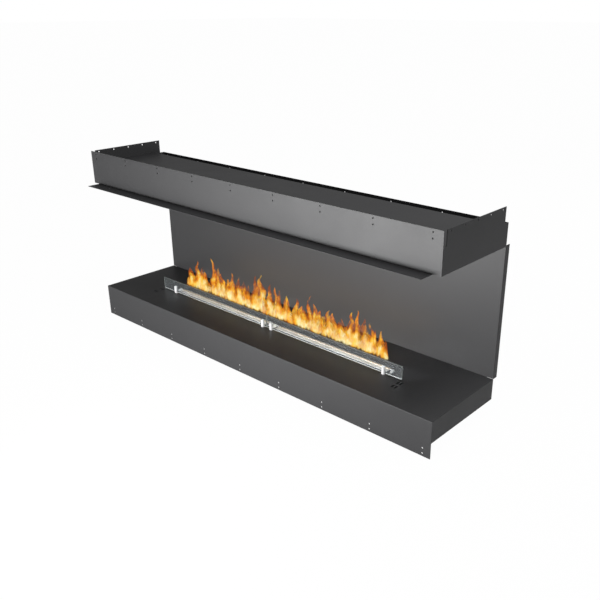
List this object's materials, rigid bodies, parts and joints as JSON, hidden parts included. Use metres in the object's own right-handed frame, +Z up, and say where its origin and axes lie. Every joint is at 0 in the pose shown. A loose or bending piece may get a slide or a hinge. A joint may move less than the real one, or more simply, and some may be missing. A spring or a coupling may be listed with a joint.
{
  "type": "three-sided fireplace",
  "caption": "Built-in fireplace casing open at the front and both ends, with a hood, a back panel, a slot burner under hinged snuffer lids and a low glass guard.",
  "frame": {"origin": "middle of the bounding box's floor, on the plane that the levelling feet stand on", "axes": "+X along the casing's width, +Z up, and -Y out of the open front"},
  "size_m": [1.8, 0.4542, 0.759],
  "materials": {
    "powder_coat": "satin black powder coat",
    "powder_coat_dark": "matt black powder coat on inner pieces",
    "heat_paint": "matt black heat-resistant paint",
    "satin_stainless": "satin stainless",
    "plain_stainless": "mill stainless",
    "zinc_steel": "zinc plated",
    "toughened_glass": "clear, ground edges",
    "ceramic_wool": "matt fibre block"
  },
  "bodies": {
    "root": {"lower_front_panel": "powder_coat", "lower_left_panel": "powder_coat", "lower_right_panel": "powder_coat", "lower_rear_panel": "powder_coat_dark", "base_plate": "powder_coat_dark", "tank_bearer_left_outer": "powder_coat_dark", "tank_bearer_left_inner": "powder_coat_dark", "tank_bearer_right_inner": "powder_coat_dark", "tank_bearer_right_outer": "powder_coat_dark", "hearth_rail_front": "powder_coat_dark", "hearth_rail_rear": "powder_coat_dark", "foot_nut_1": "zinc_steel", "foot_nut_2": "zinc_steel", "foot_nut_3": "zinc_steel", "foot_nut_4": "zinc_steel", "back_panel": "powder_coat", "back_stiffener_left": "powder_coat_dark", "back_stiffener_right": "powder_coat_dark", "hood_front_panel": "powder_coat", "hood_left_panel": "powder_coat", "hood_right_panel": "powder_coat", "hood_rear_panel": "powder_coat_dark", "hood_ceiling_plate": "powder_coat", "hood_top_plate": "powder_coat", "hood_angle_front": "powder_coat_dark", "hood_angle_rear": "powder_coat_dark", "hood_rib_left": "powder_coat_dark", "hood_rib_right": "powder_coat_dark", "burner_tank_left": "plain_stainless", "burner_tank_right": "plain_stainless", "ceramic_wool_left": "ceramic_wool", "ceramic_wool_right": "ceramic_wool", "burner_deck_left": "heat_paint", "burner_deck_right": "heat_paint", "slot_rail_left": "satin_stainless", "slot_rail_right": "satin_stainless", "hinge_rod_left": "satin_stainless", "hinge_rod_right": "satin_stainless", "hinge_block_left_outer": "satin_stainless", "hinge_block_left_inner": "satin_stainless", "hinge_block_right_inner": "satin_stainless", "hinge_block_right_outer": "satin_stainless"},
    "lid_left": {"snuffer_lid_left": "satin_stainless"},
    "lid_right": {"snuffer_lid_right": "satin_stainless"},
    "hearth": {"hearth_plate": "powder_coat", "glass_holder_1": "satin_stainless", "glass_holder_2": "satin_stainless", "glass_holder_3": "satin_stainless", "glass_holder_4": "satin_stainless", "holder_nut_1": "zinc_steel", "holder_nut_2": "zinc_steel", "holder_nut_3": "zinc_steel", "holder_nut_4": "zinc_steel"},
    "pane_left": {"glass_pane_left": "toughened_glass"},
    "pane_right": {"glass_pane_right": "toughened_glass"},
    "foot_1": {"levelling_foot_1": "zinc_steel"},
    "foot_2": {"levelling_foot_2": "zinc_steel"},
    "foot_3": {"levelling_foot_3": "zinc_steel"},
    "foot_4": {"levelling_foot_4": "zinc_steel"}
  },
  "joints": [
    {"name": "lid_left_hinge", "type": "hinge", "parent": "root", "child": "lid_left", "pos_m": [-0.3095, 0.02585, 0.1402], "axis": [-1, 0, 0], "range_deg": [0, 180]},
    {"name": "lid_right_hinge", "type": "hinge", "parent": "root", "child": "lid_right", "pos_m": [0.3095, 0.02585, 0.1402], "axis": [-1, 0, 0], "range_deg": [0, 180]},
    {"name": "hearth_lift", "type": "slide", "parent": "root", "child": "hearth", "axis": [0, 0, 1], "range_m": [0, 0.12]},
    {"name": "pane_left_lift", "type": "slide", "parent": "hearth", "child": "pane_left", "axis": [0, 0, 1], "range_m": [0, 0.06]},
    {"name": "pane_right_lift", "type": "slide", "parent": "hearth", "child": "pane_right", "axis": [0, 0, 1], "range_m": [0, 0.06]},
    {"name": "foot_1_screw", "type": "hinge", "parent": "root", "child": "foot_1", "pos_m": [-0.7, -0.10215, 0], "axis": [0, 0, 1], "continuous": true},
    {"name": "foot_2_screw", "type": "hinge", "parent": "root", "child": "foot_2", "pos_m": [-0.7, 0.13485, 0], "axis": [0, 0, 1], "continuous": true},
    {"name": "foot_3_screw", "type": "hinge", "parent": "root", "child": "foot_3", "pos_m": [0.7, -0.10215, 0], "axis": [0, 0, 1], "continuous": true},
    {"name": "foot_4_screw", "type": "hinge", "parent": "root", "child": "foot_4", "pos_m": [0.7, 0.13485, 0], "axis": [0, 0, 1], "continuous": true}
  ]
}
